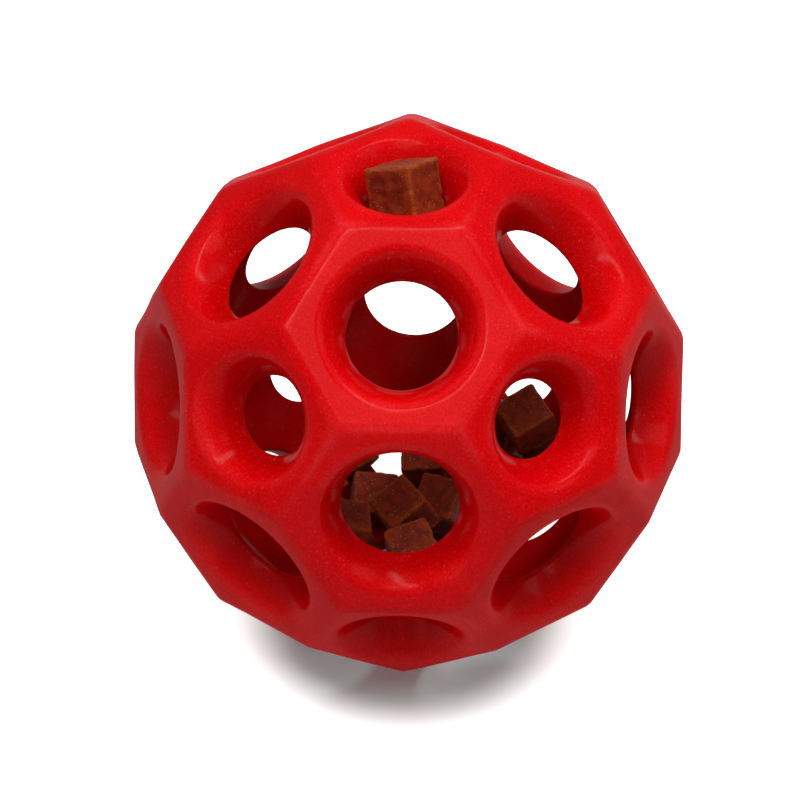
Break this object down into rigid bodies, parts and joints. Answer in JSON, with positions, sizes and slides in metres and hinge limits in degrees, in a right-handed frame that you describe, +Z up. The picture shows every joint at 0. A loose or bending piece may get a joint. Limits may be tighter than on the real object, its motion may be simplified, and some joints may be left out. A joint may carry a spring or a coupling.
{
  "type": "treat dispensing ball",
  "caption": "Hollow moulded rubber ball of flat five- and six-sided faces, each with a round flared hole, loaded with cube treats that tumble out as it rolls.",
  "frame": {"origin": "middle of the lower five-sided face on which the ball rests", "axes": "+Z up through the top hole; a six-sided face of the upper ring looks towards -Y"},
  "size_m": [0.1168, 0.1152, 0.1169],
  "materials": {
    "rubber": "satin moulded rubber",
    "treat": "soft, slightly greasy, granular"
  },
  "bodies": {
    "ball": {"ball_shell": "rubber"},
    "top_treat": {"top_treat": "treat"},
    "heap": {"treat_1": "treat", "treat_2": "treat", "treat_3": "treat", "treat_4": "treat", "treat_5": "treat", "treat_6": "treat", "treat_7": "treat", "treat_8": "treat", "treat_9": "treat", "treat_10": "treat", "treat_11": "treat", "treat_12": "treat", "treat_13": "treat", "treat_14": "treat", "treat_15": "treat", "treat_16": "treat", "treat_17": "treat", "treat_18": "treat"},
    "loose_treat_1": {"loose_treat_1": "treat"},
    "loose_treat_2": {"loose_treat_2": "treat"},
    "loose_treat_3": {"loose_treat_3": "treat"}
  },
  "joints": [
    {"name": "top_treat_slide", "type": "slide", "parent": "ball", "child": "top_treat", "axis": [0, 0, 1], "range_m": [0, 0.03]},
    {"name": "heap_roll", "type": "hinge", "parent": "ball", "child": "heap", "pos_m": [0, 0, 0.05635], "axis": [1, 0, 0], "range_deg": [-100, 100]},
    {"name": "loose_treat_1_hop", "type": "slide", "parent": "heap", "child": "loose_treat_1", "axis": [0, 0, 1], "range_m": [0, 0.02]},
    {"name": "loose_treat_2_hop", "type": "slide", "parent": "heap", "child": "loose_treat_2", "axis": [0, 0, 1], "range_m": [0, 0.02]},
    {"name": "loose_treat_3_hop", "type": "slide", "parent": "heap", "child": "loose_treat_3", "axis": [0, 0, 1], "range_m": [0, 0.02]}
  ]
}
